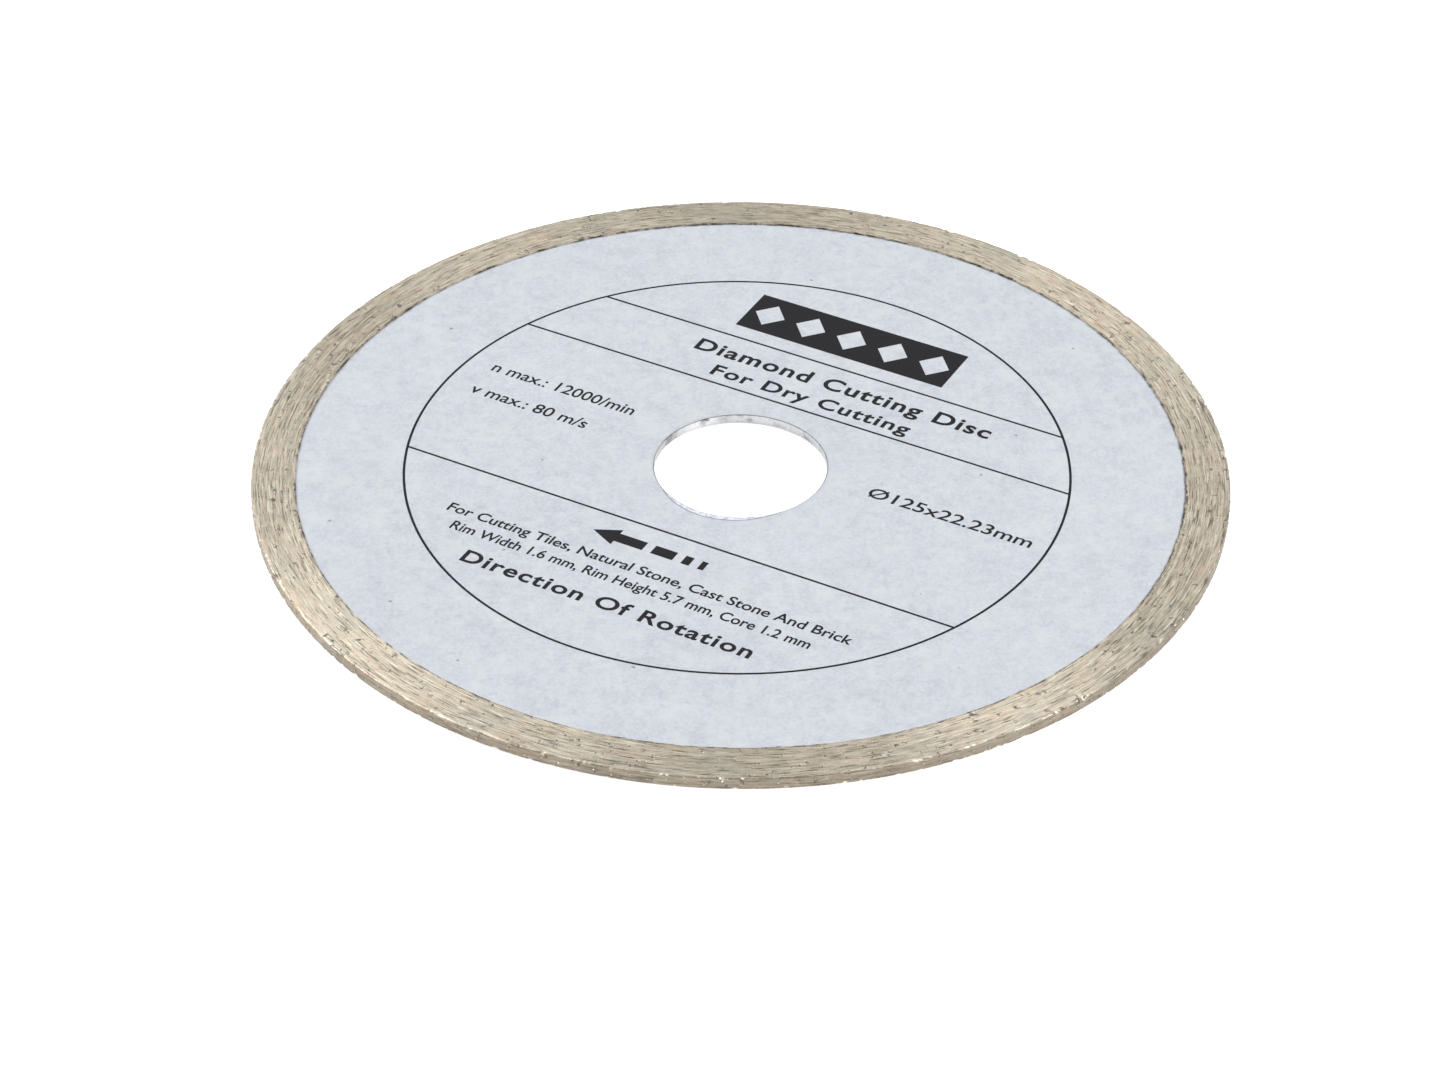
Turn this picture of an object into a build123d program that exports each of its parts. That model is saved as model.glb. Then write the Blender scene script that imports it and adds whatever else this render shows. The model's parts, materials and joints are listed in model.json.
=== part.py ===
from build123d import *
import os
from math import asin, cos, degrees, radians, sin, sqrt

# Continuous-rim diamond cutting disc: a punched steel core, a sintered bronze-bond rim that grips
# the core's keyed edge, diamond crystals set in the rim's cutting edge, a lacquer film on both
# faces of the core, and a one-colour print on the front film.
# Millimetres. The spin axis is Z, the origin is the bore's centre half way through the core, and
# the printed face looks up +Z.

# ---------------------------------------------------------------- driving dimensions
blade_diameter = 125.0  # over the dressed crystals
bore_diameter = 22.23
core_thickness = 1.2
rim_thickness = 1.6
rim_height = 5.7  # radial height of the sintered rim

# Steel core
bore_roll_width = 0.8  # the punch rolls the bore's front edge down over this width
bore_roll_depth = 0.1
bore_chamfer = 0.1  # edge break of the bore's back edge
rim_overlap = 2.0  # how far the core's edge reaches into the rim
key_count = 48  # round notches in the core's edge that the bond fills
key_radius = 0.8

# Sintered rim
rim_edge_round = 0.12  # outer edges, rounded by the dressing wheel
rim_step_break = 0.04  # edge break where the rim steps down to the core's faces
crystal_exposure = 0.08  # how far the crystals stand out of the bond

# Diamond crystals
crystal_count = 180
crystal_width = 0.40
crystal_half_height = 0.14
crystal_taper = 45.0  # degrees
crystal_cover = 0.12  # least bond between a crystal's centre ring and the rounded rim edge

# Lacquer films
lacquer_thickness = 0.03
lacquer_setback = 0.12  # bare steel left around the bore

# Print
ink_thickness = 0.012
print_turn = -28.35  # degrees that the print's rows are turned about the spin axis
border_radius = 42.59
border_width = 0.33
border_shift = (-0.31, -0.35)  # the border circle sits slightly off the bore's centre
divider_heights = (25.35, 14.5, -17.2)
divider_width = 0.32
emblem_width = 30.7
emblem_height = 8.2
emblem_center = (-0.45, 32.0)
rhomb_count = 5
rhomb_width = 4.4
rhomb_height = 5.0
arrow_height = -21.1  # row of the turning-direction arrow
arrow_tip = -9.6
arrow_head_length = 3.4
arrow_head_width = 3.3
arrow_shaft_width = 1.7
arrow_shaft_length = 4.0
arrow_dash_lengths = (3.1, 1.15, 0.8)
arrow_dash_gap = 1.2

# ---------------------------------------------------------------- derived sizes
blade_radius = blade_diameter / 2
bore_radius = bore_diameter / 2
bond_radius = blade_radius - crystal_exposure
rim_inner_radius = blade_radius - rim_height
core_radius = rim_inner_radius + rim_overlap
core_half = core_thickness / 2
rim_half = rim_thickness / 2
roll_start_radius = bore_radius + bore_roll_width
roll_arc_radius = (bore_roll_width**2 + bore_roll_depth**2) / (2 * bore_roll_depth)
roll_arc_center = (roll_start_radius, core_half - roll_arc_radius)
front_film_angle = degrees(asin((bore_roll_width - lacquer_setback) / roll_arc_radius))
back_film_inner_radius = bore_radius + bore_chamfer + lacquer_setback
print_plane = Plane.XY.offset(core_half + lacquer_thickness).rotated((0, 0, print_turn))
border_inner_radius = border_radius - border_width / 2
border_outer_radius = border_radius + border_width / 2

os.makedirs("parts", exist_ok=True)


def save(part, name):
    """Label a finished piece and write its STEP file."""
    part.label = name
    export_step(part, f"parts/{name}.step")


# ---------------------------------------------------------------- steel core
# Punched from sheet, front face first, so the bore's front edge is rolled down and its back edge
# only broken. The ring of round notches along the outer edge keys the bond, hidden in the rim.
with BuildPart() as steel_core:
    with BuildSketch():
        Circle(core_radius)
        with PolarLocations(core_radius, key_count):
            Circle(key_radius, mode=Mode.SUBTRACT)
    extrude(amount=core_half, both=True)
    Hole(bore_radius)
    back_edge = steel_core.edges().filter_by(lambda edge: edge.is_closed).sort_by(Axis.Z)[0]
    chamfer(back_edge, length=bore_chamfer)
    with BuildSketch(Plane.XZ):
        with BuildLine():
            roll = TangentArc(
                (roll_start_radius, core_half), (bore_radius, core_half - bore_roll_depth), tangent=(-1, 0)
            )
            Polyline(roll @ 1, (bore_radius, core_half), roll @ 0)
        make_face()
    revolve(axis=Axis.Z, mode=Mode.SUBTRACT)
save(steel_core.part, "steel_core")

# ---------------------------------------------------------------- diamond crystals
# One crystal is a blocky double pyramid with flat tips. They stand round the cutting edge at the
# golden ratio's spacing across its width, each turned its own way, and are dressed to the blade's
# diameter, so the outermost ones have flat tops.
with BuildPart() as crystal:
    with BuildSketch():
        Rectangle(crystal_width, crystal_width)
    extrude(amount=crystal_half_height, both=True, taper=crystal_taper)

golden_ratio = (sqrt(5) - 1) / 2
crystal_ring_radius = bond_radius - crystal_half_height / 2
crystal_span = 2 * (rim_half - rim_edge_round - crystal_cover - crystal_width / 2)


def crystal_place(index):
    """Place number index round the cutting edge: angle, height across the edge and turn."""
    angle = 360 * index / crystal_count
    height = ((index * golden_ratio) % 1 - 0.5) * crystal_span
    x = crystal_ring_radius * cos(radians(angle))
    y = crystal_ring_radius * sin(radians(angle))
    return Location((x, y, height), (97 * index % 360, 61 * index % 360, 37 * index % 360))


with BuildPart() as diamond_grit:
    with Locations(*[crystal_place(index) for index in range(crystal_count)]):
        add(crystal.part)
    with BuildSketch():
        Circle(blade_radius)
    extrude(amount=rim_half, both=True, mode=Mode.INTERSECT)
save(diamond_grit.part, "diamond_grit")

# ---------------------------------------------------------------- sintered rim
# A ring wider than the core, pressed and sintered round the core's edge. It stands proud of both
# lacquered faces. The core and the crystals are taken out of it, so the bond fills the keys and
# seats every crystal.
with BuildPart() as sintered_rim:
    with BuildSketch():
        Circle(bond_radius)
        Circle(rim_inner_radius, mode=Mode.SUBTRACT)
    extrude(amount=rim_half, both=True)
    ring_edges = sintered_rim.edges().filter_by(GeomType.CIRCLE)
    fillet(ring_edges.filter_by(lambda edge: edge.radius > rim_inner_radius + 1e-3), rim_edge_round)
    step_edges = sintered_rim.edges().filter_by(GeomType.CIRCLE)
    chamfer(step_edges.filter_by(lambda edge: abs(edge.radius - rim_inner_radius) < 1e-3), rim_step_break)
    add(steel_core.part, mode=Mode.SUBTRACT)
    add(diamond_grit.part, mode=Mode.SUBTRACT)
save(sintered_rim.part, "sintered_rim")

# ---------------------------------------------------------------- lacquer films
# One film on each face of the core, from just outside the bore to the rim's step. The front film
# follows the bore's rolled edge down.
with BuildPart() as front_lacquer:
    with BuildSketch(Plane.XZ):
        with BuildLine():
            under = CenterArc(roll_arc_center, roll_arc_radius, 90, front_film_angle)
            over = CenterArc(roll_arc_center, roll_arc_radius + lacquer_thickness, 90, front_film_angle)
            Line(under @ 1, over @ 1)
            Polyline(
                over @ 0,
                (rim_inner_radius, core_half + lacquer_thickness),
                (rim_inner_radius, core_half),
                under @ 0,
            )
        make_face()
    revolve(axis=Axis.Z)
save(front_lacquer.part, "front_lacquer")

with BuildPart() as back_lacquer:
    with BuildSketch(Plane.XY.offset(-core_half)):
        Circle(rim_inner_radius)
        Circle(back_film_inner_radius, mode=Mode.SUBTRACT)
    extrude(amount=-lacquer_thickness)
save(back_lacquer.part, "back_lacquer")

# ---------------------------------------------------------------- print: border circle
with BuildPart() as print_border_ring:
    with BuildSketch(print_plane):
        with Locations(border_shift):
            Circle(border_outer_radius)
            Circle(border_inner_radius, mode=Mode.SUBTRACT)
    extrude(amount=ink_thickness)
save(print_border_ring.part, "print_border_ring")

# ---------------------------------------------------------------- print: divider lines
# Three lines across the border circle, ending on its inner edge.
with BuildPart() as print_divider_lines:
    with BuildSketch(print_plane):
        with Locations(*[(border_shift[0], height) for height in divider_heights]):
            Rectangle(2 * border_radius, divider_width)
        with Locations(border_shift):
            Circle(border_inner_radius, mode=Mode.INTERSECT)
    extrude(amount=ink_thickness)
save(print_divider_lines.part, "print_divider_lines")

# ---------------------------------------------------------------- print: emblem block
# A plain solid block with a row of rhombs left open in it.
with BuildPart() as print_emblem:
    with BuildSketch(print_plane):
        with Locations(emblem_center):
            Rectangle(emblem_width, emblem_height)
            with BuildLine() as rhomb:
                Polyline(
                    (rhomb_width / 2, 0),
                    (0, rhomb_height / 2),
                    (-rhomb_width / 2, 0),
                    (0, -rhomb_height / 2),
                    close=True,
                )
            with GridLocations(emblem_width / rhomb_count, 0, rhomb_count, 1):
                add(make_face(rhomb.line, mode=Mode.PRIVATE), mode=Mode.SUBTRACT)
    extrude(amount=ink_thickness)
save(print_emblem.part, "print_emblem")

# ---------------------------------------------------------------- print: turning-direction arrow
# A solid head and shaft, followed by dashes that shorten towards the tail.
arrow_neck = arrow_tip + arrow_head_length
arrow_tail = arrow_neck + arrow_shaft_length

with BuildPart() as print_rotation_arrow:
    with BuildSketch(print_plane):
        with BuildLine():
            Polyline(
                (arrow_tip, arrow_height),
                (arrow_neck, arrow_height + arrow_head_width / 2),
                (arrow_neck, arrow_height + arrow_shaft_width / 2),
                (arrow_tail, arrow_height + arrow_shaft_width / 2),
                (arrow_tail, arrow_height - arrow_shaft_width / 2),
                (arrow_neck, arrow_height - arrow_shaft_width / 2),
                (arrow_neck, arrow_height - arrow_head_width / 2),
                close=True,
            )
        make_face()
        dash_start = arrow_tail + arrow_dash_gap
        for dash_length in arrow_dash_lengths:
            with Locations((dash_start + dash_length / 2, arrow_height)):
                Rectangle(dash_length, arrow_shaft_width)
            dash_start += dash_length + arrow_dash_gap
    extrude(amount=ink_thickness)
save(print_rotation_arrow.part, "print_rotation_arrow")
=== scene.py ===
import json
import math
from collections import namedtuple

import bmesh
import bpy
from bpy.props import FloatProperty, FloatVectorProperty, IntProperty, PointerProperty
from mathutils import Euler, Matrix, Vector, noise


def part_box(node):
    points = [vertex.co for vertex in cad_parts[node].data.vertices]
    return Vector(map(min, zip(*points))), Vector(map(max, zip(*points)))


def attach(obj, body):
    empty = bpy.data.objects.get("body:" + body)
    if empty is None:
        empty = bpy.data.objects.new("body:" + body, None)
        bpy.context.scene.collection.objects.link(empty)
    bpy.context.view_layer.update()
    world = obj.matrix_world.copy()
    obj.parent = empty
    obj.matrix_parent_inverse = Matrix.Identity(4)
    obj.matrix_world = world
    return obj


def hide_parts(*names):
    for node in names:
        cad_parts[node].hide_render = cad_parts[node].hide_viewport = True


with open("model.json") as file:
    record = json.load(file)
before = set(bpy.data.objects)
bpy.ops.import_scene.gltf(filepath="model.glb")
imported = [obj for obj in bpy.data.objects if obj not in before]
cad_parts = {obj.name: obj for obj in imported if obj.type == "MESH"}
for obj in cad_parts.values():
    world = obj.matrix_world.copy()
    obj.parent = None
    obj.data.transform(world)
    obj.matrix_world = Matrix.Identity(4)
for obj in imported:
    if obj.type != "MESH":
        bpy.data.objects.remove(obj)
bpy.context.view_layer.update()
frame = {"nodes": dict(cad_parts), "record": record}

bl_info = {
    "name": "Diamond Cutting Disc",
    "version": (1, 0, 0),
    "blender": (4, 5, 0),
    "location": "3D View > Sidebar > Cutting Disc",
    "description": "Builds the look of a continuous-rim diamond cutting disc round its CAD frame",
    "category": "Object",
}

MM = 0.001

# ------------------------------------------------------------------ sizes read from the frame
BORE = next(mount for mount in frame["record"]["mounts"] if mount["name"] == "bore")
BORE_RADIUS = BORE["dims"]["r_mm"] * MM
CORE_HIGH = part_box("steel_core")[1]
RIM_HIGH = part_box("sintered_rim")[1]
FILM_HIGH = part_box("front_lacquer")[1]
BORDER_LOW, BORDER_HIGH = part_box("print_border_ring")
BORDER_CENTER = (BORDER_LOW + BORDER_HIGH) / 2
BORDER_RADIUS = (BORDER_HIGH.x - BORDER_LOW.x) / 2

# One row of lettering: its words, where it starts and ends along the row, its baseline, the height
# of its capitals and how much its strokes are thickened. Millimetres, in the print's own frame.
Row = namedtuple("Row", "name words left right baseline capital weight")
ROWS = (
    Row("title_upper", "Diamond Cutting Disc", -18.1, 25.2, 20.35, 2.65, 0.19),
    Row("title_lower", "For Dry Cutting", -13.4, 15.6, 16.1, 2.4, 0.18),
    Row("speed_turns", "n max.: 12000/min", -39.0, -17.7, 2.75, 2.1, 0.08),
    Row("speed_rim", "v max.: 80 m/s", -39.0, -21.6, -2.8, 2.1, 0.08),
    Row("size_rating", "Ø125x22.23mm", 17.1, 39.9, 1.8, 2.15, 0.08),
    Row(
        "use_upper", "For Cutting Tiles, Natural Stone, Cast Stone And Brick", -28.0, 29.2, -26.4, 1.75, 0.12,
    ),
    Row("use_lower", "Rim Width 1.6 mm, Rim Height 5.7 mm, Core 1.2 mm", -25.7, 25.1, -29.5, 1.75, 0.12),
    Row("turning_note", "Direction Of Rotation", -21.1, 19.7, -34.6, 2.45, 0.18),
)
FONT_CAPITAL = 0.729  # height of a capital in the built-in font, as a share of its size
BOLD_WEIGHT = 0.15  # a row with strokes thickened by more than this is also set wider
BOLD_SPACING = 1.12

RING_STEPS = 1440  # divisions round the films and the printed circle
FLAT_SPAN = 12 * MM  # longest division of a flat face

# Tones that only shade another colour.
LACQUER_TINT = (0.507, 0.541, 0.546)
# Painted shade and dirt at the foot of the rim's step.
LACQUER_SHADE_AND_GRIME = (0.10, 0.10, 0.095)
DUST = (0.16, 0.16, 0.17)
SMUDGE = (0.40, 0.42, 0.45)
BORE_SHADE = (0.42, 0.43, 0.44)
RUB_OUTLINE = (0.16, 0.17, 0.21)
RUB_DARK = (0.42, 0.46, 0.54)
# Painted glint on the bare steel beside the bore.
RUB_GLINT = (0.80, 0.83, 0.89)
THIN_INK = (0.055, 0.058, 0.065)
BOND_COPPER = (0.82, 0.60, 0.44)
BOND_OLIVE = (0.64, 0.65, 0.52)
# Painted glints in the ground bond.
BOND_GLINT = (1.0, 0.93, 0.78)
BOND_SCORED = (0.14, 0.115, 0.085)
BOND_PORE = (0.045, 0.038, 0.030)
# Painted shade and dirt along the bond's inner edge.
BOND_SHADE_AND_GRIME = (0.065, 0.055, 0.045)
# Painted shade on the rim's outer wall.
BOND_EDGE_SHADE = (0.15, 0.115, 0.085)
# Painted highlight on the bore's wall.
STEEL_HIGHLIGHT = (0.68, 0.69, 0.70)
STEEL_SMEAR = (0.16, 0.15, 0.14)
STEEL_SPOT = (0.05, 0.045, 0.04)
CRYSTAL_DULL = (0.58, 0.53, 0.36)

# Each soft light's place in metres from the disc's centre, the side of its square, and its power.
Light = namedtuple("Light", "name place side power")
LIGHTS = (
    Light("left_softbox", (-0.95, 0.42, 0.75), 0.66, 9.4),
    Light("right_softbox", (0.80, -0.24, 0.90), 0.66, 11.4),
    Light("top_softbox", (-0.52, 0.02, 1.02), 0.5, 3.6),
    Light("back_softbox", (-0.62, 1.0, 0.42), 0.4, 1.0),
    Light("rim_glint_light", (0.16, 0.76, 0.64), 0.12, 0.12),
)


# ------------------------------------------------------------------ what a user would change
def length(label, words, value):
    """A length property in metres."""
    return FloatProperty(
        name=label, description=words, default=value, subtype="DISTANCE", unit="LENGTH", precision=6
    )


def colour(label, words, value):
    """A colour property."""
    return FloatVectorProperty(
        name=label, description=words, default=value, subtype="COLOR", size=3, min=0, max=1
    )


def angle_of(label, words, degrees):
    """An angle property, its default in degrees."""
    return FloatProperty(name=label, description=words, default=math.radians(degrees), subtype="ANGLE")


class DiscSizes(bpy.types.PropertyGroup):
    bore_radius: length("Bore Radius", "Radius of the bore's wall", BORE_RADIUS)
    roll_width: length("Bore Roll Width", "How far out the bore's front edge is rolled down", 0.8 * MM)
    roll_depth: length("Bore Roll Depth", "How deep the bore's front edge is rolled down", 0.1 * MM)
    bore_chamfer: length("Bore Chamfer", "Edge break of the bore's back edge", 0.1 * MM)
    bare_ring: length("Bare Ring", "Bare steel left around the bore", 0.12 * MM)
    core_half: length("Core Half Thickness", "Half the thickness of the steel core", CORE_HIGH.z)
    film_half: length("Film Half Height", "Height of the lacquered face over the mid-plane", FILM_HIGH.z)
    film_tuck: length("Film Tuck", "How far the films reach under the rim's inner edge", 0.25 * MM)
    step_radius: length("Step Radius", "Where the rim steps down to the core", FILM_HIGH.x)
    key_overlap: length("Key Overlap", "How far the core's edge reaches into the rim", 2.0 * MM)
    key_radius: length("Key Radius", "Radius of the notches in the core's edge", 0.8 * MM)
    key_count: IntProperty(name="Key Count", description="Notches in the core's edge", default=48, min=3)
    rim_radius: length("Rim Radius", "Outer radius of the bond", RIM_HIGH.x)
    rim_half: length("Rim Half Thickness", "Half the thickness of the rim", RIM_HIGH.z)
    rim_round: length("Rim Edge Round", "Rounding of the rim's outer edges", 0.12 * MM)
    chip_depth: length("Chip Depth", "Depth of the chips along the rim's edges", 0.24 * MM)
    step_wander: length("Step Wander", "How far the rim's inner edge strays", 0.14 * MM)
    ink_top: length("Ink Top", "Height of the printed ink over the mid-plane", BORDER_HIGH.z)
    border_radius: length("Border Radius", "Outer radius of the printed circle", BORDER_RADIUS)
    border_width: length("Border Width", "Width of the printed circle's line", 0.33 * MM)
    print_turn: angle_of("Print Turn", "Turn of the print's rows", -28.35)
    crystal_width: length("Crystal Width", "Width of a diamond crystal", 0.34 * MM)
    crystal_count: IntProperty(name="Crystal Count", description="Crystals in a rim face", default=110, min=0)


class DiscColours(bpy.types.PropertyGroup):
    lacquer_light: colour("Lacquer Light", "Lighter tone of the lacquer", (0.519, 0.540, 0.588))
    lacquer_deep: colour("Lacquer Deep", "Deeper tone of the lacquer", (0.388, 0.406, 0.455))
    ink: colour("Ink", "Printing ink", (0.012, 0.012, 0.014))
    bond_light: colour("Bond Light", "Freshly ground bond", (1.000, 0.900, 0.735))
    bond_deep: colour("Bond Deep", "Duller bond", (0.440, 0.370, 0.280))
    bond_grey: colour("Bond Grey", "Iron-rich patches in the bond", (0.560, 0.560, 0.490))
    steel: colour("Steel", "Bare steel of the bore", (0.540, 0.550, 0.565))
    crystal: colour("Crystal", "Diamond crystals", (0.820, 0.770, 0.560))
    floor: colour("Floor", "Studio floor", (0.860, 0.860, 0.860))


# ------------------------------------------------------------------ mesh helpers
def new_mesh(name, bm, sharp=math.radians(32)):
    """Turn a bmesh into a linked object whose edges are sharp past an angle."""
    bmesh.ops.recalc_face_normals(bm, faces=bm.faces[:])
    for face in bm.faces:
        face.smooth = True
    for edge in bm.edges:
        edge.smooth = edge.calc_face_angle(math.pi) < sharp
    mesh = bpy.data.meshes.new(name)
    bm.to_mesh(mesh)
    bm.free()
    made = bpy.data.objects.new(name, mesh)
    bpy.context.scene.collection.objects.link(made)
    return made


def finish_piece(made, material, slot, *nodes):
    """Give a piece its material, let it ride on the disc and stand for its CAD nodes; the slot is not used.
    """
    made.data.materials.clear()
    made.data.materials.append(material)
    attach(made, "root")
    if nodes:
        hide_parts(*nodes)


def closed_profile(bm, points):
    """Draw a closed loop of edges in the XZ plane through (radius, height) corners."""
    corners = [bm.verts.new((radius, 0, height)) for radius, height in points]
    for i, corner in enumerate(corners):
        bm.edges.new((corners[i - 1], corner))


def cut_long_edges(bm, spacing):
    """Divide each profile edge so that no piece of it is longer than the spacing."""
    for edge in bm.edges[:]:
        cuts = math.ceil(edge.calc_length() / spacing) - 1
        if cuts > 0:
            bmesh.ops.subdivide_edges(bm, edges=[edge], cuts=cuts)


def spin_profile(bm, steps, doublings=5):
    """Spin the profile through a small sector, then double the sector until the ring closes."""
    angle = 2 * math.pi / 2**doublings
    bmesh.ops.spin(
        bm, geom=bm.verts[:] + bm.edges[:], cent=(0, 0, 0), axis=(0, 0, 1),
        angle=angle, steps=steps // 2**doublings, use_merge=False, use_duplicate=False,
    )
    for _ in range(doublings):
        copy = bmesh.ops.duplicate(bm, geom=bm.verts[:] + bm.edges[:] + bm.faces[:])["geom"]
        verts = [item for item in copy if isinstance(item, bmesh.types.BMVert)]
        bmesh.ops.rotate(bm, cent=(0, 0, 0), matrix=Matrix.Rotation(angle, 3, "Z"), verts=verts)
        angle *= 2
    bmesh.ops.remove_doubles(bm, verts=bm.verts[:], dist=2e-6)


def arc_points(center, radius, start, end, count):
    """Points along an arc in the profile plane, angles in radians."""
    angles = [start + (end - start) * i / count for i in range(count + 1)]
    return [(center[0] + radius * math.cos(a), center[1] + radius * math.sin(a)) for a in angles]


def keyed_radius(sizes, angle):
    """Radius of the core's notched edge at an angle."""
    core_radius = sizes.step_radius + sizes.key_overlap
    pitch = 2 * math.pi / sizes.key_count
    offset = (angle + pitch / 2) % pitch - pitch / 2
    across = core_radius * math.sin(offset)
    if abs(across) >= sizes.key_radius:
        return core_radius
    return core_radius * math.cos(offset) - math.sqrt(sizes.key_radius**2 - across**2)


def set_radius(vert, radius):
    """Move a vertex along its own radius."""
    now = math.hypot(vert.co.x, vert.co.y)
    vert.co.x *= radius / now
    vert.co.y *= radius / now


def roll_arc(sizes):
    """Centre and radius of the arc that the bore's front edge is rolled to."""
    radius = (sizes.roll_width**2 + sizes.roll_depth**2) / (2 * sizes.roll_depth)
    center = (sizes.bore_radius + sizes.roll_width, sizes.core_half - radius)
    return center, radius


# ------------------------------------------------------------------ material helpers
def put(tree, socket, value):
    """Link a socket to another, or set its value."""
    if isinstance(value, bpy.types.NodeSocket):
        tree.links.new(value, socket)
    else:
        socket.default_value = value


def new_node(tree, kind, **inputs):
    """Add a node and set its named inputs: a socket links, a value is set."""
    made = tree.nodes.new(kind)
    for name, value in inputs.items():
        put(tree, made.inputs[name.replace("_", " ")], value)
    return made


def math_node(tree, operation, *values, clamp=False):
    """A Math node's result."""
    made = tree.nodes.new("ShaderNodeMath")
    made.operation = operation
    made.use_clamp = clamp
    for socket, value in zip(made.inputs, values):
        put(tree, socket, value)
    return made.outputs[0]


def add(tree, first, second, clamp=False):
    """The sum of two values."""
    return math_node(tree, "ADD", first, second, clamp=clamp)


def times(tree, first, second):
    """The product of two values."""
    return math_node(tree, "MULTIPLY", first, second)


def vector_node(tree, operation, first, second):
    """A Vector Math node's result."""
    made = tree.nodes.new("ShaderNodeVectorMath")
    made.operation = operation
    put(tree, made.inputs[0], first)
    put(tree, made.inputs["Scale" if operation == "SCALE" else 1], second)
    return made.outputs[0]


def mix_colour(tree, factor, first, second):
    """A colour Mix node's result."""
    made = tree.nodes.new("ShaderNodeMix")
    made.data_type = "RGBA"
    made.clamp_factor = True
    put(tree, made.inputs["Factor"], factor)
    for socket, value in ((made.inputs["A"], first), (made.inputs["B"], second)):
        put(tree, socket, value if isinstance(value, bpy.types.NodeSocket) else (*value, 1))
    return next(out for out in made.outputs if out.type == "RGBA")


def cover(tree, base, mask, strength, colour_over):
    """The base colour with another laid over it where the mask is."""
    return mix_colour(tree, times(tree, mask, strength), base, colour_over)


def ramp(tree, value, low, high, out_low=0.0, out_high=1.0):
    """A clamped Map Range node's result."""
    made = new_node(tree, "ShaderNodeMapRange", Value=value)
    made.clamp = True
    for name, number in (("From Min", low), ("From Max", high), ("To Min", out_low), ("To Max", out_high)):
        put(tree, made.inputs[name], number)
    return made.outputs["Result"]


def noise_value(tree, vector, scale, detail=3.0, roughness=0.55):
    """A Noise Texture's value."""
    inputs = {"Vector": vector, "Scale": scale, "Detail": detail, "Roughness": roughness}
    return new_node(tree, "ShaderNodeTexNoise", **inputs).outputs["Fac"]


def object_point(tree):
    """Object coordinates."""
    return tree.nodes.new("ShaderNodeTexCoord").outputs["Object"]


def parts_of(tree, vector):
    """The X, Y and Z of a vector."""
    return new_node(tree, "ShaderNodeSeparateXYZ", Vector=vector).outputs


def radius_of(tree, point):
    """Distance of the shaded point from the spin axis, and its X, Y and Z."""
    parts = parts_of(tree, point)
    x_squared, y_squared = (math_node(tree, "POWER", parts[axis], 2.0) for axis in "XY")
    return math_node(tree, "SQRT", add(tree, x_squared, y_squared)), parts


def bump(tree, height, distance, strength):
    """A Bump node's normal."""
    made = new_node(tree, "ShaderNodeBump", Height=height, Distance=distance, Strength=strength)
    return made.outputs["Normal"]


# ------------------------------------------------------------------ shader node groups
def new_group(name, inputs, output):
    """A shader node group with named float inputs and one output; returns its tree and end sockets."""
    tree = bpy.data.node_groups.new(name, "ShaderNodeTree")
    for label, default in inputs.items():
        socket = tree.interface.new_socket(name=label, in_out="INPUT", socket_type="NodeSocketFloat")
        socket.default_value = default
    tree.interface.new_socket(name=output, in_out="OUTPUT", socket_type="NodeSocketFloat")
    return tree, tree.nodes.new("NodeGroupInput").outputs, tree.nodes.new("NodeGroupOutput").inputs[0]


def use_group(tree, name, **inputs):
    """Place a group in a material and return its output."""
    made = tree.nodes.new("ShaderNodeGroup")
    made.node_tree = bpy.data.node_groups[name]
    for label, value in inputs.items():
        put(tree, made.inputs[label.replace("_", " ")], value)
    return made.outputs[0]


def make_grain_group():
    """Grain: soft mottling from two sizes of noise."""
    inputs = {"Fine Scale": 3000.0, "Coarse Scale": 300.0, "Coarse Share": 0.4}
    tree, given, out = new_group("Grain", inputs, "Value")
    point = object_point(tree)
    fine = noise_value(tree, point, given["Fine Scale"], 2.0)
    coarse = noise_value(tree, point, given["Coarse Scale"], 3.0)
    fine_share = math_node(tree, "SUBTRACT", 1.0, given["Coarse Share"])
    total = add(tree, times(tree, fine, fine_share), times(tree, coarse, given["Coarse Share"]))
    put(tree, out, total)


def make_speck_group():
    """Specks: a mask of scattered round spots, of which only a share of the cells holds one."""
    inputs = {"Scale": 500.0, "Size": 0.15, "Share": 0.2, "Softness": 0.1, "Warp": 0.0}
    tree, given, out = new_group("Specks", inputs, "Mask")
    point = object_point(tree)
    wobble_scale = times(tree, given["Scale"], 2.3)
    wobble = new_node(tree, "ShaderNodeTexNoise", Vector=point, Scale=wobble_scale).outputs["Color"]
    centred = vector_node(tree, "SUBTRACT", wobble, (0.5, 0.5, 0.5))
    reach = math_node(tree, "DIVIDE", given["Warp"], given["Scale"])
    moved = vector_node(tree, "ADD", point, vector_node(tree, "SCALE", centred, reach))
    cells = new_node(tree, "ShaderNodeTexVoronoi", Vector=moved, Scale=given["Scale"])
    faded = add(tree, given["Size"], given["Softness"])
    spot = ramp(tree, cells.outputs["Distance"], given["Size"], faded, 1.0, 0.0)
    luck = new_node(tree, "ShaderNodeSeparateColor", Color=cells.outputs["Color"]).outputs[0]
    chosen = math_node(tree, "LESS_THAN", luck, given["Share"])
    put(tree, out, times(tree, spot, chosen))


def make_streak_group():
    """Ring Streaks: marks that run round the spin axis, fine across and long round the ring."""
    inputs = {"Across Scale": 4000.0, "Round Scale": 20.0, "Detail": 3.0, "Offset": 0.0}
    tree, given, out = new_group("Ring Streaks", inputs, "Value")
    radius, parts = radius_of(tree, object_point(tree))
    across = times(tree, add(tree, radius, parts["Z"]), given["Across Scale"])
    across = add(tree, across, given["Offset"])
    turn_x, turn_y = (
        times(tree, math_node(tree, "DIVIDE", parts[axis], radius), given["Round Scale"]) for axis in "XY"
    )
    vector = new_node(tree, "ShaderNodeCombineXYZ", X=across, Y=turn_x, Z=turn_y).outputs[0]
    put(tree, out, noise_value(tree, vector, 1.0, given["Detail"], 0.6))


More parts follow.
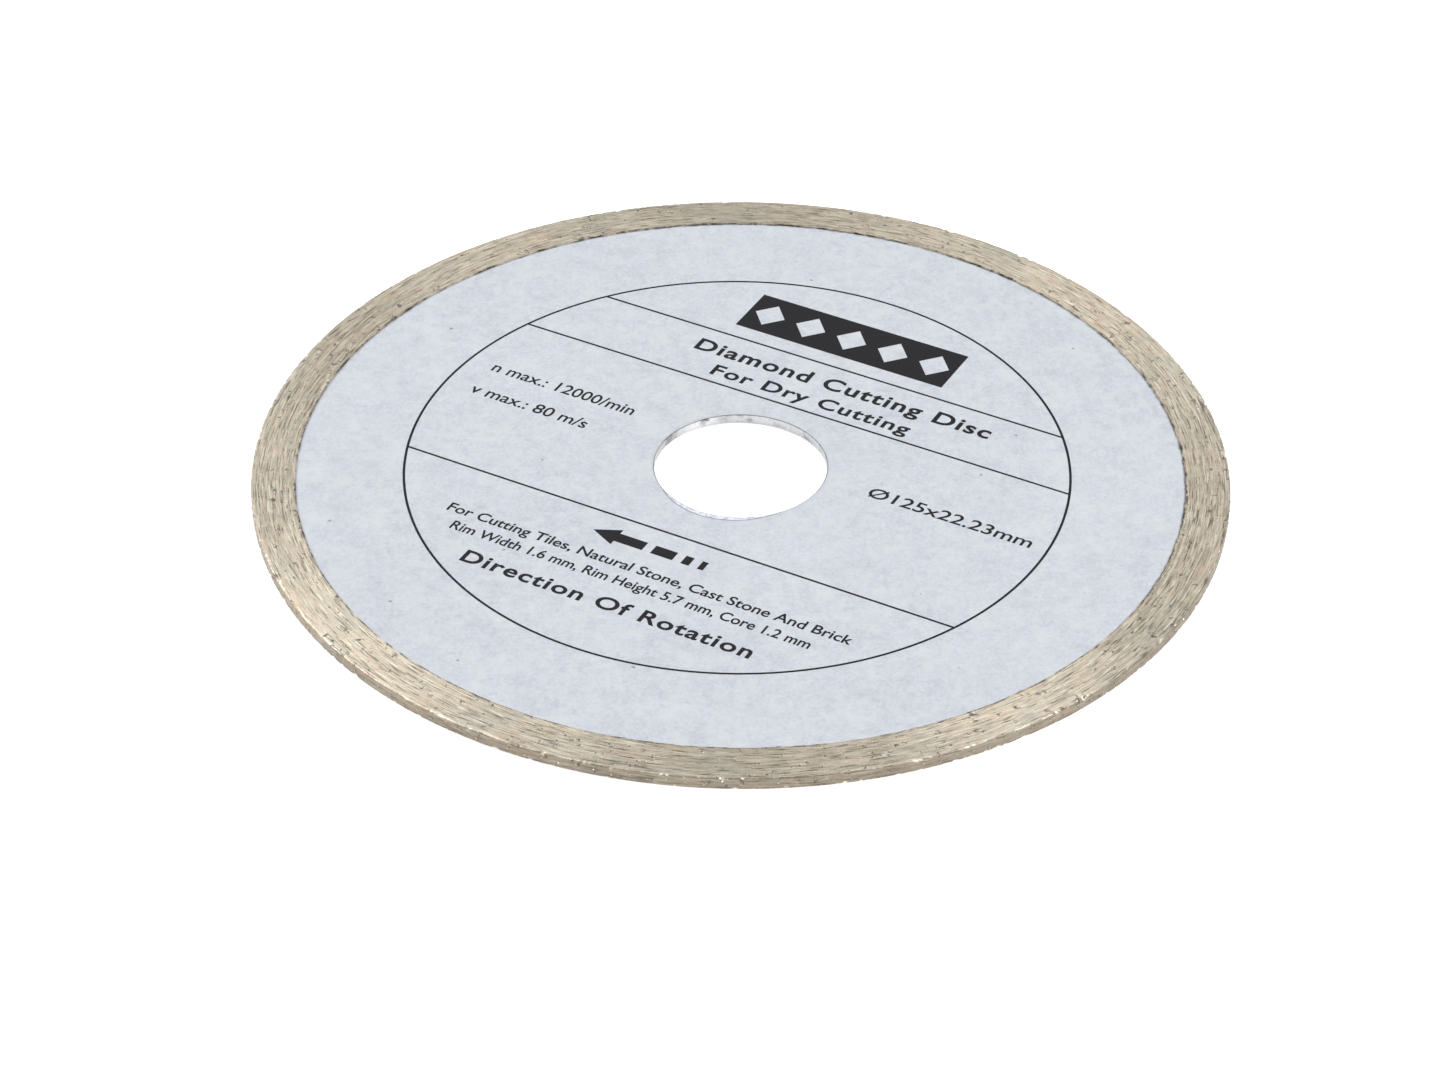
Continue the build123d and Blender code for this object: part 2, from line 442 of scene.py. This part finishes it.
def make_ring_band_group():
    """Ring Band: a ragged band round an axis beside the spin axis, full at one radius, gone at another."""
    inputs = {
        "Full Radius": 0.01, "Gone Radius": 0.02, "Ragged": 0.0, "Scale": 2000.0,
        "Shift X": 0.0, "Shift Y": 0.0,
    }
    tree, given, out = new_group("Ring Band", inputs, "Mask")
    shift = new_node(tree, "ShaderNodeCombineXYZ", X=given["Shift X"], Y=given["Shift Y"]).outputs[0]
    point = vector_node(tree, "ADD", object_point(tree), shift)
    radius, _ = radius_of(tree, point)
    stray = math_node(tree, "SUBTRACT", noise_value(tree, point, given["Scale"]), 0.5)
    ragged = add(tree, radius, times(tree, stray, given["Ragged"]))
    put(tree, out, ramp(tree, ragged, given["Full Radius"], given["Gone Radius"], 1.0, 0.0))


def grain(tree, fine, coarse, share):
    """The Grain group's value; scales are per metre."""
    return use_group(tree, "Grain", Fine_Scale=fine, Coarse_Scale=coarse, Coarse_Share=share)


def specks(tree, scale, size, share, soft, warp):
    """The Specks group's mask."""
    return use_group(tree, "Specks", Scale=scale, Size=size, Share=share, Softness=soft, Warp=warp)


def streaks(tree, across, along, detail, offset=0.0):
    """The Ring Streaks group's value."""
    inputs = {"Across_Scale": across, "Round_Scale": along, "Detail": detail, "Offset": offset}
    return use_group(tree, "Ring Streaks", **inputs)


def ring_band(tree, full, gone, ragged, scale, shift=(0.0, 0.0)):
    """The Ring Band group's mask."""
    inputs = {"Full_Radius": full, "Gone_Radius": gone, "Ragged": ragged, "Scale": scale}
    return use_group(tree, "Ring Band", Shift_X=shift[0], Shift_Y=shift[1], **inputs)


# ------------------------------------------------------------------ materials
def new_material(name):
    """An empty node material: itself, its tree and its Principled node."""
    material = bpy.data.materials.new(name)
    material.use_nodes = True
    tree = material.node_tree
    return material, tree, tree.nodes["Principled BSDF"]


def lacquer_material(sizes, colours):
    """Matt blue-grey lacquer: mottle, dust, painted shade and dirt along the rim, steel rubbed bare beside
    the bore and painted light as a glint.
    """
    material, tree, shader = new_material("blue_grey_lacquer")
    bore, step = sizes.bore_radius, sizes.step_radius
    mottle = grain(tree, fine=2600.0, coarse=900.0, share=0.40)
    cloud = grain(tree, fine=330.0, coarse=34.0, share=0.45)
    tint = grain(tree, fine=760.0, coarse=210.0, share=0.45)
    tone = add(tree, ramp(tree, mottle, 0.36, 0.64, 0.0, 0.70), ramp(tree, cloud, 0.35, 0.65, 0.0, 0.30))
    base = mix_colour(tree, tone, tuple(colours.lacquer_deep), tuple(colours.lacquer_light))
    base = mix_colour(tree, ramp(tree, tint, 0.46, 0.62, 0.0, 0.65), base, LACQUER_TINT)
    dust = specks(tree, scale=230.0, size=0.035, share=0.22, soft=0.03, warp=0.25)
    base = cover(tree, base, dust, 0.75, DUST)
    smudge = specks(tree, scale=95.0, size=0.05, share=0.3, soft=0.35, warp=0.6)
    base = cover(tree, base, smudge, 0.12, SMUDGE)
    near_bore = ring_band(tree, bore + 0.15 * MM, bore + 0.55 * MM, ragged=0.5 * MM, scale=1400.0)
    base = cover(tree, base, near_bore, 0.35, BORE_SHADE)

    # Painted shade and dirt: the lacquer darkens along the foot of the rim's step, most towards the far right
    # and far side, where the step's shadow falls.
    step_shade_and_grime = ring_band(tree, step - 0.02 * MM, step - 0.30 * MM, ragged=0.5 * MM, scale=1300.0)
    uneven = ramp(tree, noise_value(tree, object_point(tree), 700.0, 3.0), 0.38, 0.60, 0.25, 1.0)
    parts = parts_of(tree, object_point(tree))
    far_right = add(tree, times(tree, parts["X"], 0.7), parts["Y"])
    far_right = ramp(tree, far_right, -30 * MM, 35 * MM, 0.15, 1.0)
    base = mix_colour(tree, times(tree, times(tree, step_shade_and_grime, uneven), far_right), base, LACQUER_SHADE_AND_GRIME)

    # A circle shifted from the bore's own bares a crescent of steel on the near side. The bare steel is
    # painted light and kept nearly matt, a painted glint.
    shift = (0.77 * MM, 2.38 * MM)
    edge = bore - 1.60 * MM
    rubbed = ring_band(tree, edge - 0.05 * MM, edge, ragged=0.10 * MM, scale=900.0, shift=shift)
    outline = ring_band(tree, edge + 0.08 * MM, edge + 0.20 * MM, ragged=0.10 * MM, scale=900.0, shift=shift)
    base = cover(tree, base, outline, 0.80, RUB_OUTLINE)
    scuff = streaks(tree, across=3600.0, along=14.0, detail=2.0, offset=5.0)
    steel_and_glint = mix_colour(tree, ramp(tree, scuff, 0.38, 0.56), RUB_DARK, RUB_GLINT)
    base = mix_colour(tree, rubbed, base, steel_and_glint)

    put(tree, shader.inputs["Base Color"], base)
    put(tree, shader.inputs["Metallic"], times(tree, rubbed, 0.25))
    put(tree, shader.inputs["Roughness"], ramp(tree, rubbed, 0.0, 1.0, 0.46, 0.26))
    put(tree, shader.inputs["Normal"], bump(tree, mottle, 0.010 * MM, 0.6))
    return material


def ink_material(colours):
    """Near-black printing ink with slightly uneven cover."""
    material, tree, shader = new_material("black_printing_ink")
    body = grain(tree, fine=5200.0, coarse=1200.0, share=0.35)
    thin = ramp(tree, body, 0.58, 0.78, 0.0, 0.35)
    put(tree, shader.inputs["Base Color"], mix_colour(tree, thin, tuple(colours.ink), THIN_INK))
    put(tree, shader.inputs["Roughness"], ramp(tree, body, 0.3, 0.7, 0.5, 0.62))
    shader.inputs["Specular IOR Level"].default_value = 0.2
    put(tree, shader.inputs["Normal"], bump(tree, body, 0.004 * MM, 0.5))
    return material


def bond_material(sizes, colours):
    """Sintered bronze bond: ground round the ring in fine and broad marks, with pores and grey patches."""
    material, tree, shader = new_material("sintered_bronze_bond")
    step, outer = sizes.step_radius, sizes.rim_radius
    fine = streaks(tree, across=5200.0, along=17.0, detail=3.0)
    broad = streaks(tree, across=2100.0, along=8.0, detail=2.0, offset=7.0)
    glint_streaks = streaks(tree, across=4300.0, along=15.0, detail=2.0, offset=31.0)
    hue = streaks(tree, across=1300.0, along=12.0, detail=3.0, offset=83.0)
    scored = streaks(tree, across=5400.0, along=20.0, detail=3.0, offset=57.0)
    body = grain(tree, fine=3800.0, coarse=900.0, share=0.4)
    patch = grain(tree, fine=420.0, coarse=110.0, share=0.6)
    tone = add(tree, ramp(tree, fine, 0.38, 0.62, 0.0, 0.48), ramp(tree, broad, 0.38, 0.62, 0.0, 0.32))
    tone = add(tree, tone, ramp(tree, body, 0.32, 0.68, -0.12, 0.36), clamp=True)
    base = mix_colour(tree, tone, tuple(colours.bond_deep), tuple(colours.bond_light))
    base = mix_colour(tree, ramp(tree, hue, 0.55, 0.70, 0.0, 0.55), base, BOND_COPPER)
    base = mix_colour(tree, ramp(tree, hue, 0.45, 0.30, 0.0, 0.55), base, BOND_OLIVE)
    base = mix_colour(tree, ramp(tree, patch, 0.48, 0.66, 0.0, 0.55), base, tuple(colours.bond_grey))
    # Painted glints: light yellow streaks laid into the ground bond's colour.
    base = mix_colour(tree, ramp(tree, glint_streaks, 0.56, 0.66, 0.0, 0.9), base, BOND_GLINT)
    base = mix_colour(tree, ramp(tree, scored, 0.55, 0.64, 0.0, 0.8), base, BOND_SCORED)

    pores = specks(tree, scale=1050.0, size=0.16, share=0.24, soft=0.20, warp=1.5)
    pits = specks(tree, scale=520.0, size=0.11, share=0.16, soft=0.14, warp=1.3)
    holes = math_node(tree, "MAXIMUM", pores, pits)
    base = cover(tree, base, holes, 0.92, BOND_PORE)
    # Painted shade and dirt: a ragged dark band along the bond's inner edge, beside the step down to the
    # lacquer.
    step_shade_and_grime = ring_band(tree, step + 0.05 * MM, step + 0.26 * MM, ragged=0.6 * MM, scale=1500.0)
    uneven = ramp(tree, noise_value(tree, object_point(tree), 620.0, 3.0), 0.42, 0.60, 0.12, 0.95)
    base = cover(tree, base, step_shade_and_grime, uneven, BOND_SHADE_AND_GRIME)
    # Painted shade: the rim's outer wall and the faces' outer edge are darkened.
    edge_shade = ring_band(tree, outer - 0.03 * MM, outer - 0.13 * MM, ragged=0.12 * MM, scale=1700.0)
    base = cover(tree, base, edge_shade, 0.68, BOND_EDGE_SHADE)

    put(tree, shader.inputs["Base Color"], base)
    put(tree, shader.inputs["Metallic"], ramp(tree, holes, 0.1, 0.7, 0.85, 0.1))
    put(tree, shader.inputs["Roughness"], ramp(tree, fine, 0.3, 0.7, 0.50, 0.34))
    shader.inputs["Anisotropic"].default_value = 0.75
    shader.inputs["Anisotropic Rotation"].default_value = 0.25
    round_axis = tree.nodes.new("ShaderNodeTangent")
    round_axis.direction_type = "RADIAL"
    round_axis.axis = "Z"
    put(tree, shader.inputs["Tangent"], round_axis.outputs[0])
    height = add(tree, times(tree, fine, 0.55), times(tree, body, 0.35))
    height = math_node(tree, "SUBTRACT", height, holes)
    put(tree, shader.inputs["Normal"], bump(tree, height, 0.040 * MM, 0.9))
    return material


def steel_material(colours):
    """Bare punched steel: marks straight through the bore, a painted highlight on one stretch of its wall,
    and dark smears.
    """
    material, tree, shader = new_material("punched_steel")
    point = object_point(tree)
    squeezed = new_node(tree, "ShaderNodeMapping", Vector=point)
    squeezed.inputs["Scale"].default_value = (1.0, 1.0, 0.12)
    marks = noise_value(tree, squeezed.outputs[0], 1500.0, 3.0)
    smears = grain(tree, fine=900.0, coarse=260.0, share=0.55)
    spots = specks(tree, scale=640.0, size=0.20, share=0.24, soft=0.2, warp=1.2)
    steel = tuple(colours.steel)
    base = mix_colour(tree, ramp(tree, marks, 0.3, 0.7), tuple(0.82 * c for c in steel), steel)
    across = parts_of(tree, point)["X"]
    # Painted highlight: a light stretch of the bore's wall, chosen by X.
    highlight_band = times(tree, ramp(tree, across, -8.5 * MM, -6.0 * MM), ramp(tree, across, -2.5 * MM, -4.5 * MM))
    base = mix_colour(tree, highlight_band, base, STEEL_HIGHLIGHT)
    base = mix_colour(tree, ramp(tree, smears, 0.51, 0.62, 0.0, 0.65), base, STEEL_SMEAR)
    base = cover(tree, base, spots, 0.8, STEEL_SPOT)
    put(tree, shader.inputs["Base Color"], base)
    put(tree, shader.inputs["Metallic"], ramp(tree, spots, 0.2, 0.8, 1.0, 0.2))
    put(tree, shader.inputs["Roughness"], ramp(tree, marks, 0.3, 0.7, 0.26, 0.42))
    put(tree, shader.inputs["Normal"], bump(tree, marks, 0.012 * MM, 0.7))
    return material


def crystal_material(colours):
    """Yellowish synthetic diamond with clearer and duller grains."""
    material, tree, shader = new_material("synthetic_diamond")
    tint = grain(tree, fine=1500.0, coarse=500.0, share=0.5)
    base = mix_colour(tree, ramp(tree, tint, 0.35, 0.65), CRYSTAL_DULL, tuple(colours.crystal))
    put(tree, shader.inputs["Base Color"], base)
    put(tree, shader.inputs["Roughness"], ramp(tree, tint, 0.3, 0.7, 0.12, 0.34))
    shader.inputs["IOR"].default_value = 2.42
    shader.inputs["Transmission Weight"].default_value = 0.6
    return material


def floor_material(colours):
    """Plain pale studio floor that stays white past the lights' reach."""
    material, tree, shader = new_material("studio_floor")
    floor = tuple(colours.floor)
    mottle = grain(tree, fine=60.0, coarse=8.0, share=0.5)
    put(tree, shader.inputs["Base Color"], mix_colour(tree, mottle, tuple(0.985 * c for c in floor), floor))
    distance, _ = radius_of(tree, object_point(tree))
    shader.inputs["Roughness"].default_value = 0.9
    shader.inputs["Specular IOR Level"].default_value = 0.1
    shader.inputs["Emission Color"].default_value = (1, 1, 1, 1)
    put(tree, shader.inputs["Emission Strength"], ramp(tree, distance, 0.6, 1.1, 0.36, 1.0))
    return material


# ------------------------------------------------------------------ operators, one per piece
class DISC_OT_groups(bpy.types.Operator):
    """Make the shader node groups that the materials share"""

    bl_idname = "disc.groups"
    bl_label = "Shader Groups"

    def execute(self, context):
        make_grain_group()
        make_speck_group()
        make_streak_group()
        make_ring_band_group()
        return {"FINISHED"}


class DISC_OT_core(bpy.types.Operator):
    """Model the punched steel core with its rolled bore edge and its keyed outer edge"""

    bl_idname = "disc.core"
    bl_label = "Steel Core"

    def execute(self, context):
        sizes = context.scene.disc_sizes
        half, core_radius = sizes.core_half, sizes.step_radius + sizes.key_overlap
        center, radius = roll_arc(sizes)
        end = math.pi / 2 + math.asin(sizes.roll_width / radius)
        bm = bmesh.new()
        closed_profile(bm, [
            (core_radius, -half),
            (core_radius, half),
            *arc_points(center, radius, math.pi / 2, end, 5),
            (sizes.bore_radius, -half + sizes.bore_chamfer),
            (sizes.bore_radius + sizes.bore_chamfer, -half),
        ])
        cut_long_edges(bm, FLAT_SPAN)
        spin_profile(bm, 40 * sizes.key_count)
        for vert in bm.verts:
            if math.hypot(vert.co.x, vert.co.y) > core_radius - 1e-6:
                set_radius(vert, keyed_radius(sizes, math.atan2(vert.co.y, vert.co.x)))
        core = new_mesh("core_plate", bm, math.radians(12))
        finish_piece(core, steel_material(context.scene.disc_colours), "core_steel", "steel_core")
        return {"FINISHED"}


class DISC_OT_rim(bpy.types.Operator):
    """Model the sintered rim with its groove for the core's edge, its chips and its straying inner edge"""

    bl_idname = "disc.rim"
    bl_label = "Sintered Rim"

    steps: IntProperty(name="Steps", description="Divisions round the ring", default=1824, min=240)
    cell: length("Cell", "Longest division across the ring", 0.42 * MM)
    chip_reach: length("Chip Reach", "How far from the edge a chip reaches", 0.6 * MM)

    def execute(self, context):
        sizes = context.scene.disc_sizes
        half, core_half = sizes.rim_half, sizes.core_half
        inner, outer, core_radius = sizes.step_radius, sizes.rim_radius, sizes.step_radius + sizes.key_overlap
        rounding, quarter = sizes.rim_round, math.pi / 2
        bm = bmesh.new()
        closed_profile(bm, [
            (inner, half),
            *arc_points((outer - rounding, half - rounding), rounding, quarter, 0, 3),
            *arc_points((outer - rounding, rounding - half), rounding, 0, -quarter, 3),
            (inner, -half),
            (inner, -core_half),
            (core_radius, -core_half),
            (core_radius, core_half),
            (inner, core_half),
        ])
        cut_long_edges(bm, self.cell)
        spin_profile(bm, self.steps)
        for vert in bm.verts:
            self.weather(vert, sizes, inner, outer, half, core_radius)
        rim = new_mesh("bond_ring", bm)
        finish_piece(rim, bond_material(sizes, context.scene.disc_colours), "bronze_bond", "sintered_rim")
        return {"FINISHED"}

    def weather(self, vert, sizes, inner, outer, half, core_radius):
        """Move one vertex of the rim: keys, straying inner edge, chips and sintered roughness."""
        at = vert.co.copy()
        radius, height = math.hypot(at.x, at.y), abs(at.z)
        if radius < core_radius + 1e-6 and height < sizes.core_half + 1e-6:
            depth = keyed_radius(sizes, math.atan2(at.y, at.x)) - inner
            set_radius(vert, inner + depth * (radius - inner) / (core_radius - inner))
            return
        if radius < inner + 1e-6 and height > sizes.core_half + 1e-6:
            stray = noise.noise(at / (2.2 * MM)) + 0.7 * noise.noise(at / (0.7 * MM))
            burr = max(0.0, noise.noise(at / (1.1 * MM) + Vector((9, 4, 2))) - 0.35)
            set_radius(vert, radius - sizes.step_wander * (0.5 * stray + 2.4 * burr))
        corner = math.hypot(outer - radius, half - height)
        if corner < self.chip_reach:
            fade = 1 - corner / self.chip_reach
            large = max(0.0, noise.noise(at / (0.9 * MM)) - 0.30)
            small = max(0.0, noise.noise(at / (0.35 * MM)) - 0.25)
            bite = sizes.chip_depth * (large + 0.6 * small) * 2.2 * fade
            set_radius(vert, radius - bite)
            vert.co.z -= math.copysign(0.45 * bite, at.z)
        elif radius > outer - 1e-5:
            set_radius(vert, radius - 0.012 * MM * (1 + noise.noise(at / (0.6 * MM))))


class DISC_OT_films(bpy.types.Operator):
    """Model the lacquer films on both faces of the core"""

    bl_idname = "disc.films"
    bl_label = "Lacquer Films"

    def execute(self, context):
        sizes = context.scene.disc_sizes
        lacquer = lacquer_material(sizes, context.scene.disc_colours)
        outer = sizes.step_radius + sizes.film_tuck
        center, radius = roll_arc(sizes)
        thickness = sizes.film_half - sizes.core_half
        end = math.pi / 2 + math.asin((sizes.roll_width - sizes.bare_ring) / radius)
        bm = bmesh.new()
        closed_profile(bm, [
            *arc_points(center, radius + thickness, math.pi / 2, end, 6),
            *arc_points(center, radius, end, math.pi / 2, 6),
            (outer, sizes.core_half),
            (outer, sizes.film_half),
        ])
        cut_long_edges(bm, FLAT_SPAN)
        spin_profile(bm, RING_STEPS)
        finish_piece(new_mesh("front_film", bm, math.radians(20)), lacquer, "lacquer", "front_lacquer")
        back_inner = sizes.bore_radius + sizes.bore_chamfer + sizes.bare_ring
        bm = bmesh.new()
        closed_profile(bm, [
            (back_inner, -sizes.core_half),
            (outer, -sizes.core_half),
            (outer, -sizes.film_half),
            (back_inner, -sizes.film_half),
        ])
        cut_long_edges(bm, FLAT_SPAN)
        spin_profile(bm, RING_STEPS)
        finish_piece(new_mesh("back_film", bm, math.radians(20)), lacquer, "lacquer", "back_lacquer")
        return {"FINISHED"}


class DISC_OT_crystals(bpy.types.Operator):
    """Set diamond crystals in the rim's faces and give the cutting edge's crystals their finish"""

    bl_idname = "disc.crystals"
    bl_label = "Diamond Crystals"

    margin: length("Margin", "Bare bond left beside the crystals' ring", 0.6 * MM)
    proud: length("Proud", "How far a crystal in the front face stands out", 0.012 * MM)
    sunk: length("Sunk", "How far a crystal in the back face lies under it", 0.030 * MM)
    tilt: FloatProperty(name="Tilt", description="Largest tilt of a crystal, radians", default=0.12)

    def execute(self, context):
        sizes = context.scene.disc_sizes
        diamond = crystal_material(context.scene.disc_colours)
        edge_grit = frame["nodes"]["diamond_grit"]
        edge_grit.data.materials.clear()
        edge_grit.data.materials.append(diamond)
        bm = bmesh.new()
        golden = (math.sqrt(5) - 1) / 2  # spreads the crystals evenly round the ring
        plastic = 0.754877  # spreads them evenly across it
        span = sizes.rim_radius - sizes.step_radius - 2 * self.margin
        for index in range(2 * sizes.crystal_count):
            side = 1 if index % 2 else -1
            angle = 2 * math.pi * (index * golden % 1)
            radius = sizes.step_radius + self.margin + span * (index * plastic % 1)
            size = sizes.crystal_width * (0.7 + 0.3 * math.sin(3 * index))
            depth = sizes.rim_half - 0.5 * size + (self.proud if side > 0 else -self.sunk)
            tilt = Euler((self.tilt * math.sin(7 * index), self.tilt * math.cos(5 * index), index), "XYZ")
            at = Vector((radius * math.cos(angle), radius * math.sin(angle), side * depth))
            place = Matrix.Translation(at) @ tilt.to_matrix().to_4x4()
            cube = bmesh.ops.create_cube(bm, size=size, matrix=place)
            bmesh.ops.bevel(
                bm, geom=cube["verts"], offset=0.28 * size, segments=1, profile=0.5,
                affect="VERTICES", material=-1, clamp_overlap=True,
            )
        finish_piece(new_mesh("face_crystals", bm, math.radians(5)), diamond, "diamond")
        return {"FINISHED"}


class DISC_OT_print(bpy.types.Operator):
    """Model the printed circle and lettering, and ink the printed lines, block and arrow"""

    bl_idname = "disc.print"
    bl_label = "Print"

    def execute(self, context):
        sizes = context.scene.disc_sizes
        ink = ink_material(context.scene.disc_colours)
        for node in ("print_divider_lines", "print_emblem", "print_rotation_arrow"):
            frame["nodes"][node].data.materials.clear()
            frame["nodes"][node].data.materials.append(ink)
        outer, inner = sizes.border_radius, sizes.border_radius - sizes.border_width
        bm = bmesh.new()
        closed_profile(bm, [
            (outer, sizes.film_half),
            (outer, sizes.ink_top),
            (inner, sizes.ink_top),
            (inner, sizes.film_half),
        ])
        spin_profile(bm, RING_STEPS)
        for vert in bm.verts:
            wobble = noise.noise(vert.co / (0.5 * MM)) * 0.012 * MM
            set_radius(vert, math.hypot(vert.co.x, vert.co.y) + wobble)
        bmesh.ops.translate(bm, verts=bm.verts[:], vec=(BORDER_CENTER.x, BORDER_CENTER.y, 0))
        finish_piece(new_mesh("ink_border", bm), ink, "ink", "print_border_ring")
        for row in ROWS:
            finish_piece(self.letter_row(row, sizes), ink, "ink")
        return {"FINISHED"}

    def letter_row(self, row, sizes):
        """One row of lettering as a closed ink film, fitted to its place in the print."""
        curve = bpy.data.curves.new(row.name, "FONT")
        curve.body = row.words
        curve.size = 1.0
        curve.space_character = BOLD_SPACING if row.weight > BOLD_WEIGHT else 1.0
        curve.offset = row.weight / 8
        curve.extrude = 0.5
        curve.resolution_u = 5
        text = bpy.data.objects.new(row.name, curve)
        bpy.context.scene.collection.objects.link(text)
        bpy.context.view_layer.update()
        mesh = bpy.data.meshes.new_from_object(text.evaluated_get(bpy.context.evaluated_depsgraph_get()))
        bpy.data.objects.remove(text)
        bpy.data.curves.remove(curve)
        bm = bmesh.new()
        bm.from_mesh(mesh)
        bpy.data.meshes.remove(mesh)
        bmesh.ops.remove_doubles(bm, verts=bm.verts[:], dist=1e-5)
        low = Vector(min(v.co[i] for v in bm.verts) for i in range(3))
        high = Vector(max(v.co[i] for v in bm.verts) for i in range(3))
        scale_x = (row.right - row.left) * MM / (high.x - low.x)
        scale_y = row.capital * MM / FONT_CAPITAL
        scale_z = sizes.ink_top - sizes.film_half
        place = (
            Matrix.Rotation(sizes.print_turn, 4, "Z")
            @ Matrix.Translation((row.left * MM, row.baseline * MM, sizes.film_half + scale_z / 2))
            @ Matrix.Diagonal((scale_x, scale_y, scale_z, 1))
            @ Matrix.Translation((-low.x, 0, 0))
        )
        bmesh.ops.transform(bm, matrix=place, verts=bm.verts[:])
        return new_mesh("lettering_" + row.name, bm)


class DISC_OT_stage(bpy.types.Operator):
    """Lay the pale floor and set up the soft lights and the camera"""

    bl_idname = "disc.stage"
    bl_label = "Stage"

    focal_length: FloatProperty(name="Focal Length", description="Camera lens, mm", default=105.36)
    elevation: angle_of("Elevation", "Camera height angle", 36.96)
    roll: angle_of("Roll", "Camera roll", 0.334)
    distance: length("Distance", "Camera distance from the disc's centre", 540 * MM)
    aim_right: length("Aim Right", "How far right of the bore the camera aims", -2.64 * MM)
    aim_up: length("Aim Up", "How far above the bore the camera aims", -9.151 * MM)
    floor_radius: length("Floor Radius", "Radius of the floor", 6.0)
    surroundings: FloatProperty(name="Surroundings", description="Strength of the even light", default=0.38)

    def execute(self, context):
        sizes = context.scene.disc_sizes
        bm = bmesh.new()
        bmesh.ops.create_circle(bm, cap_ends=True, radius=self.floor_radius, segments=96)
        bmesh.ops.translate(bm, verts=bm.verts[:], vec=(0, 0, -sizes.rim_half))
        floor = new_mesh("floor", bm)
        floor.data.materials.append(floor_material(context.scene.disc_colours))
        self.add_world(context.scene)
        for light in LIGHTS:
            self.add_light(light)
        self.add_camera(context.scene)
        return {"FINISHED"}

    def add_world(self, scene):
        """Even soft surroundings, with a white backdrop where the camera sees them."""
        world = bpy.data.worlds.new("studio")
        world.use_nodes = True
        tree = world.node_tree
        soft = tree.nodes["Background"]
        soft.inputs["Color"].default_value = (1, 1, 1, 1)
        soft.inputs["Strength"].default_value = self.surroundings
        white = new_node(tree, "ShaderNodeBackground", Color=(1, 1, 1, 1), Strength=1.0)
        seen = tree.nodes.new("ShaderNodeLightPath").outputs["Is Camera Ray"]
        mixed = tree.nodes.new("ShaderNodeMixShader")
        put(tree, mixed.inputs[0], seen)
        put(tree, mixed.inputs[1], soft.outputs[0])
        put(tree, mixed.inputs[2], white.outputs[0])
        put(tree, tree.nodes["World Output"].inputs["Surface"], mixed.outputs[0])
        scene.world = world
        scene.view_settings.view_transform = "Standard"

    def add_light(self, light):
        """A square soft light that faces the disc."""
        lamp = bpy.data.lights.new(light.name, "AREA")
        lamp.size = light.side
        lamp.energy = light.power
        made = bpy.data.objects.new(light.name, lamp)
        made.location = light.place
        made.rotation_euler = (-Vector(light.place)).to_track_quat("-Z", "Y").to_euler()
        bpy.context.scene.collection.objects.link(made)

    def add_camera(self, scene):
        """The camera looks along +Y, down at the disc."""
        lens = bpy.data.cameras.new("camera")
        lens.lens = self.focal_length
        lens.sensor_width = 36
        back = Vector((0, -math.cos(self.elevation), math.sin(self.elevation)))
        up = Vector((0, math.sin(self.elevation), math.cos(self.elevation)))
        right = Vector((1, 0, 0))
        right_rolled = right * math.cos(self.roll) + up * math.sin(self.roll)
        up_rolled = up * math.cos(self.roll) - right * math.sin(self.roll)
        place = back * self.distance + right_rolled * self.aim_right + up_rolled * self.aim_up
        turn = Matrix((right_rolled, up_rolled, back)).transposed().to_4x4()
        camera = bpy.data.objects.new("camera", lens)
        camera.matrix_world = Matrix.Translation(place) @ turn
        scene.collection.objects.link(camera)
        scene.camera = camera


class DISC_PT_pieces(bpy.types.Panel):
    """Lists the disc's sizes, colours and pieces"""

    bl_idname = "DISC_PT_pieces"
    bl_label = "Cutting Disc"
    bl_space_type = "VIEW_3D"
    bl_region_type = "UI"
    bl_category = "Cutting Disc"

    def draw(self, context):
        for holder in (context.scene.disc_sizes, context.scene.disc_colours):
            box = self.layout.box()
            for name in holder.__annotations__:
                box.prop(holder, name)
        for operator in OPERATORS:
            self.layout.operator(operator.bl_idname)


OPERATORS = (
    DISC_OT_groups, DISC_OT_core, DISC_OT_rim, DISC_OT_films, DISC_OT_crystals, DISC_OT_print, DISC_OT_stage,
)
CLASSES = (DiscSizes, DiscColours, *OPERATORS, DISC_PT_pieces)


def register():
    for cls in CLASSES:
        bpy.utils.register_class(cls)
    bpy.types.Scene.disc_sizes = PointerProperty(type=DiscSizes)
    bpy.types.Scene.disc_colours = PointerProperty(type=DiscColours)


def unregister():
    del bpy.types.Scene.disc_colours
    del bpy.types.Scene.disc_sizes
    for cls in reversed(CLASSES):
        bpy.utils.unregister_class(cls)


def main():
    register()
    bpy.ops.disc.groups()
    bpy.ops.disc.core()
    bpy.ops.disc.rim()
    bpy.ops.disc.films()
    bpy.ops.disc.crystals()
    bpy.ops.disc.print()
    bpy.ops.disc.stage()


if __name__ == "__main__":
    main()
